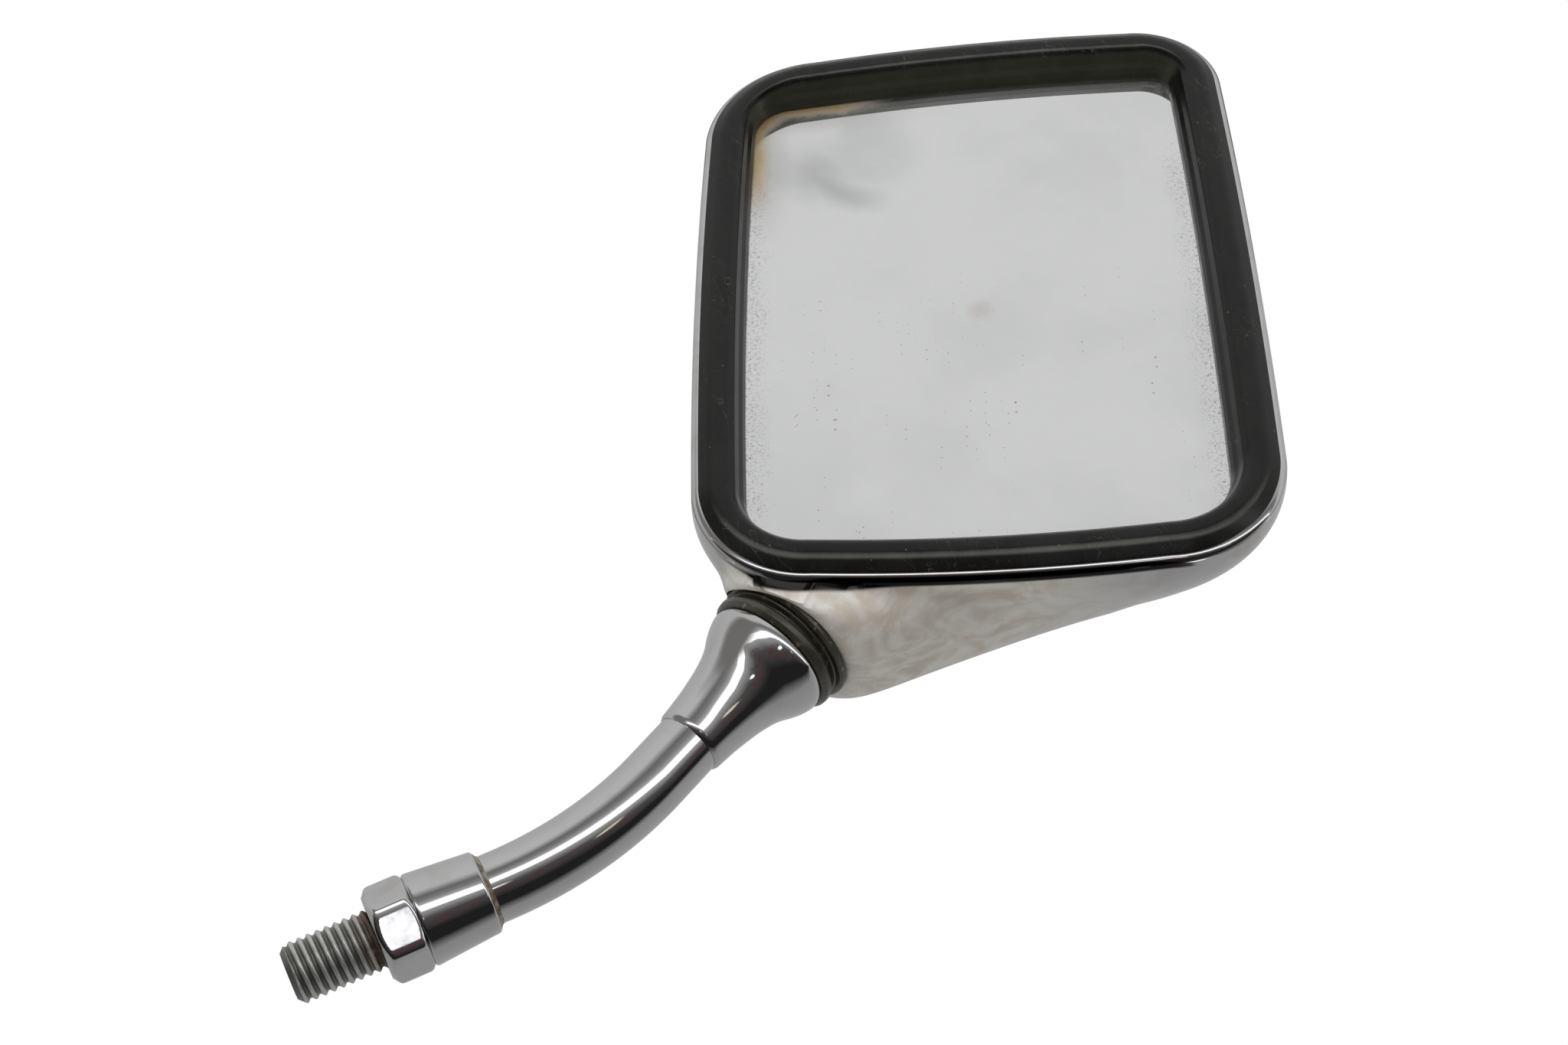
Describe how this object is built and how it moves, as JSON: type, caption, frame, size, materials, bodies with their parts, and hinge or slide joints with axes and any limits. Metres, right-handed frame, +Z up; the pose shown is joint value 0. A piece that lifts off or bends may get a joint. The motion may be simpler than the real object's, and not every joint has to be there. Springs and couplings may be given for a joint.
{
  "type": "motorcycle mirror",
  "caption": "Left-hand motorcycle mirror: near-rectangular glass in a charcoal rubber bezel and chrome shell, on a ball joint with a bent chrome stem, lock nut and threaded stud.",
  "frame": {"origin": "on the stud axis at the lock nut's seat face, which is the end that meets the perch", "axes": "+Z up the stud towards the head, the glass faces -Y, and the head leans to -X"},
  "size_m": [0.144, 0.0311, 0.2242],
  "materials": {
    "thread_steel": "grey bare thread, rusty near the nut",
    "chrome_plate": "polished plating with fine wear",
    "nut_chrome": "polished plating",
    "housing_chrome": "polished plating with faint reddish haze",
    "braze": "dull brown",
    "plain_steel": "bare steel",
    "nylon": "natural nylon",
    "bezel_rubber": "matt charcoal",
    "mirror_glass": "second-surface mirror with specks",
    "pad_foam": "plain dark pad",
    "die_cast": "as cast",
    "boot_rubber": "grimy dark rubber"
  },
  "bodies": {
    "stem": {"mounting_stud": "thread_steel", "stem_sleeve": "chrome_plate", "braze_ring": "braze", "stem_tube": "chrome_plate", "bell_cover": "chrome_plate", "ball_stud": "plain_steel", "bell_clip": "plain_steel", "boot": "boot_rubber", "boot_ring": "plain_steel"},
    "nut": {"lock_nut": "nut_chrome"},
    "lower_ball_liner": {"lower_liner": "nylon"},
    "upper_ball_liner": {"upper_liner": "nylon"},
    "head": {"housing": "housing_chrome", "bezel": "bezel_rubber", "mirror_glass": "mirror_glass", "backing_pad": "pad_foam", "socket_seat": "die_cast", "clamp_plate": "die_cast", "clamp_screws": "plain_steel", "spring_washers": "plain_steel", "spout_gasket": "boot_rubber"}
  },
  "joints": [
    {"name": "lock_nut_run", "type": "slide", "parent": "stem", "child": "nut", "axis": [0, 0, -1], "range_m": [0, 0.008]},
    {"name": "head_tilt_in_plane", "type": "hinge", "parent": "stem", "child": "lower_ball_liner", "pos_m": [-0.02673, 0, 0.09076], "axis": [0, 1, 0], "range_deg": [-11, 11], "deforming": ["boot"]},
    {"name": "head_tilt_across", "type": "hinge", "parent": "lower_ball_liner", "child": "upper_ball_liner", "pos_m": [-0.02673, 0, 0.09076], "axis": [0.8957, 0, 0.4446], "range_deg": [-11, 11], "deforming": ["boot"]},
    {"name": "head_swivel", "type": "hinge", "parent": "upper_ball_liner", "child": "head", "pos_m": [-0.02673, 0, 0.09076], "axis": [-0.4446, 0, 0.8957], "continuous": true}
  ]
}
